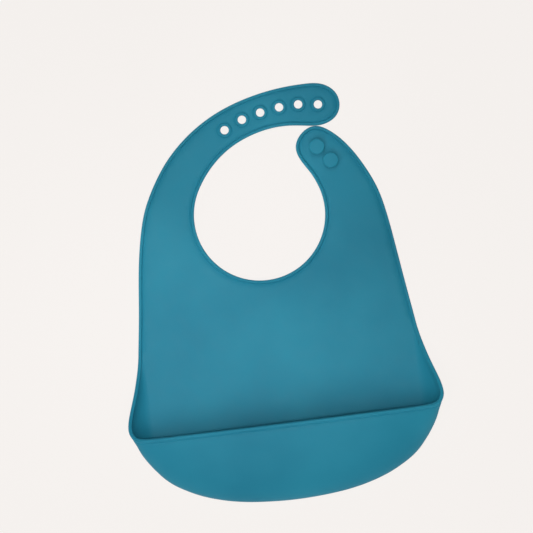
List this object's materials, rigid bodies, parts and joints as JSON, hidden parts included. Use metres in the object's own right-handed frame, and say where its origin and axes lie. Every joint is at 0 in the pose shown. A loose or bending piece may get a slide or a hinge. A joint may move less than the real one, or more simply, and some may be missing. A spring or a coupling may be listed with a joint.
{
  "type": "silicone bib",
  "caption": "Soft silicone feeding bib lying on its back, with a scooped catch pocket, a rolled edge, and neck straps that fasten by mushroom studs and eyelets.",
  "frame": {"origin": "on the flat back face, midway along the bib's length and width", "axes": "+X across the bib to the right of someone looking at its front, +Y from the pocket towards the neck, +Z out of the front face"},
  "size_m": [0.234, 0.3047, 0.0342],
  "materials": {
    "silicone": "matt moulded silicone rubber with a soft satin sheen"
  },
  "bodies": {
    "pocket_front": {"pocket_wall": "silicone", "pocket_rim": "silicone"},
    "upper_panel": {"upper_panel_sheet": "silicone", "upper_edge_roll_left": "silicone", "upper_edge_roll_right": "silicone", "neckline_roll": "silicone"},
    "short_strap": {"short_strap_sheet": "silicone", "short_strap_roll": "silicone", "stud_1": "silicone", "stud_2": "silicone"},
    "long_strap_1": {"long_strap_sheet_1": "silicone", "long_strap_roll_1": "silicone"},
    "long_strap_2": {"long_strap_sheet_2": "silicone", "long_strap_roll_2": "silicone"},
    "long_strap_3": {"long_strap_sheet_3": "silicone", "long_strap_roll_3": "silicone", "eyelet_1": "silicone", "eyelet_2": "silicone", "eyelet_3": "silicone"},
    "long_strap_4": {"long_strap_sheet_4": "silicone", "long_strap_roll_4": "silicone", "eyelet_4": "silicone", "eyelet_5": "silicone", "eyelet_6": "silicone"},
    "lower_panel": {"pocket_back": "silicone", "side_gusset_left": "silicone", "side_gusset_right": "silicone"}
  },
  "joints": [
    {"name": "panel_fold", "type": "hinge", "parent": "lower_panel", "child": "upper_panel", "pos_m": [0, -0.03, 0.003], "axis": [1, 0, 0], "range_deg": [0, 90], "stiffness_Nm_per_rad": 0.002},
    {"name": "pocket_open", "type": "hinge", "parent": "lower_panel", "child": "pocket_front", "pos_m": [0, -0.15, 0], "axis": [1, 0, 0], "range_deg": [0, 12], "stiffness_Nm_per_rad": 0.3},
    {"name": "short_strap_bend", "type": "hinge", "parent": "upper_panel", "child": "short_strap", "pos_m": [0.066, 0.07, 0.003], "axis": [1, 0, 0], "range_deg": [0, 60], "stiffness_Nm_per_rad": 0.0006},
    {"name": "long_strap_bend_1", "type": "hinge", "parent": "upper_panel", "child": "long_strap_1", "pos_m": [-0.068, 0.07, 0.003], "axis": [1, 0, 0], "range_deg": [0, 60], "stiffness_Nm_per_rad": 0.0006},
    {"name": "long_strap_bend_2", "type": "hinge", "parent": "long_strap_1", "child": "long_strap_2", "pos_m": [-0.05139, 0.10178, 0.003], "axis": [0.766, -0.6428, 0], "range_deg": [0, 50], "stiffness_Nm_per_rad": 0.0006},
    {"name": "long_strap_bend_3", "type": "hinge", "parent": "long_strap_2", "child": "long_strap_3", "pos_m": [-0.02595, 0.12027, 0.003], "axis": [0.3746, -0.9272, 0], "range_deg": [0, 50], "stiffness_Nm_per_rad": 0.0006},
    {"name": "long_strap_bend_4", "type": "hinge", "parent": "long_strap_3", "child": "long_strap_4", "pos_m": [0.01302, 0.12333, 0.003], "axis": [-0.225, -0.9744, 0], "range_deg": [0, 50], "stiffness_Nm_per_rad": 0.0006}
  ]
}
